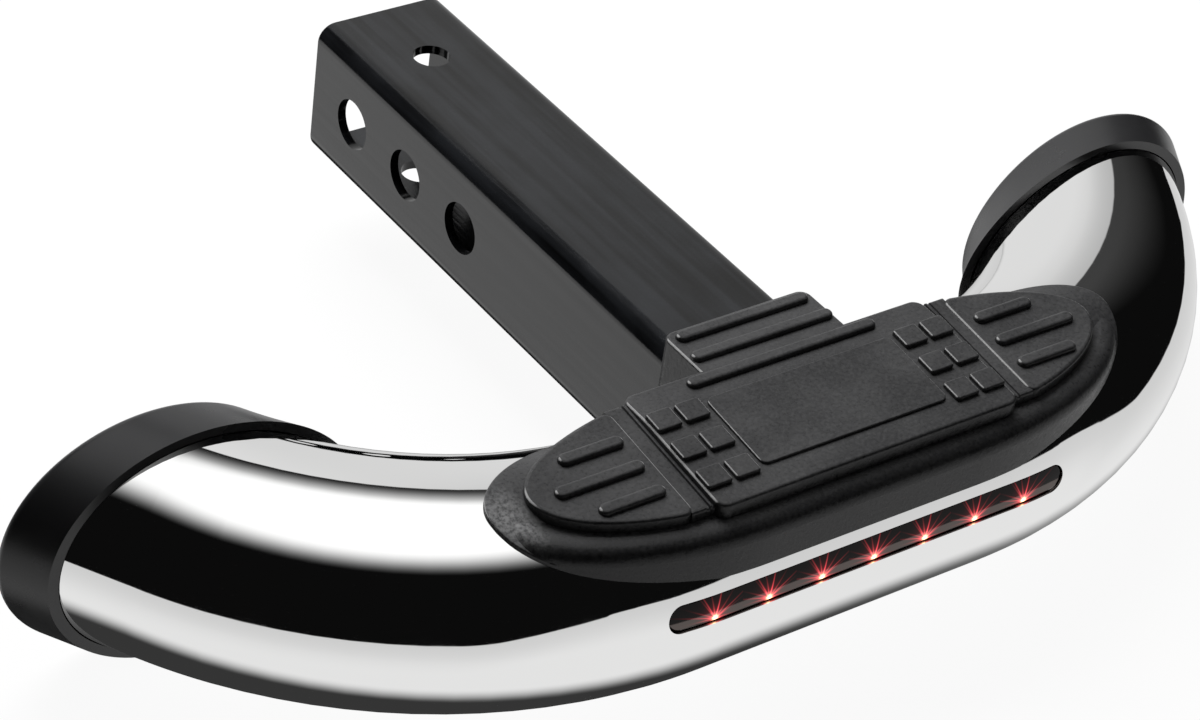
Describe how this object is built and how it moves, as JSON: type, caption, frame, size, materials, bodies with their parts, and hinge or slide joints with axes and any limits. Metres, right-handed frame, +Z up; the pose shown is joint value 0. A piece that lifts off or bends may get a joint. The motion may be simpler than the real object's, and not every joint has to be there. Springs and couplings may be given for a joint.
{
  "type": "hitch receiver step",
  "caption": "Polished bent tube step on a square receiver shank with cross-pin holes, topped by a moulded tread pad, with black end caps and a red strip lamp in the front.",
  "frame": {"origin": "axis of the rear cross-pin hole, in the middle of the shank", "axes": "+X along the bar and the pin holes, +Y along the shank to the vehicle, +Z up"},
  "size_m": [0.4644, 0.2856, 0.0858],
  "materials": {
    "powder_coat": "black powder coat, satin",
    "polished_steel": "mirror polished stainless steel",
    "cap_plastic": "black moulded plastic, soft sheen",
    "pad_rubber": "black moulded tread, fine grain",
    "lens_plastic": "dark red clear plastic, gloss",
    "seal_rubber": "black rubber",
    "housing_plastic": "black moulded plastic",
    "board_laminate": "green circuit laminate",
    "reflector_plastic": "bright silvered strip",
    "resistor_ceramic": "black chip resistors",
    "led_red": "clear red epoxy"
  },
  "bodies": {
    "root": {"shank_tube": "powder_coat", "weld_bead": "powder_coat", "step_bar": "polished_steel", "end_cap_right": "cap_plastic", "end_cap_left": "cap_plastic", "step_pad": "pad_rubber", "light_lens": "lens_plastic", "light_gasket": "seal_rubber", "light_housing": "housing_plastic", "light_board": "board_laminate", "light_reflector": "reflector_plastic", "board_resistors": "resistor_ceramic", "led_1": "led_red", "led_2": "led_red", "led_3": "led_red", "led_4": "led_red", "led_5": "led_red", "led_6": "led_red", "led_7": "led_red", "housing_gland": "seal_rubber", "wire_grommet": "seal_rubber"}
  },
  "joints": []
}
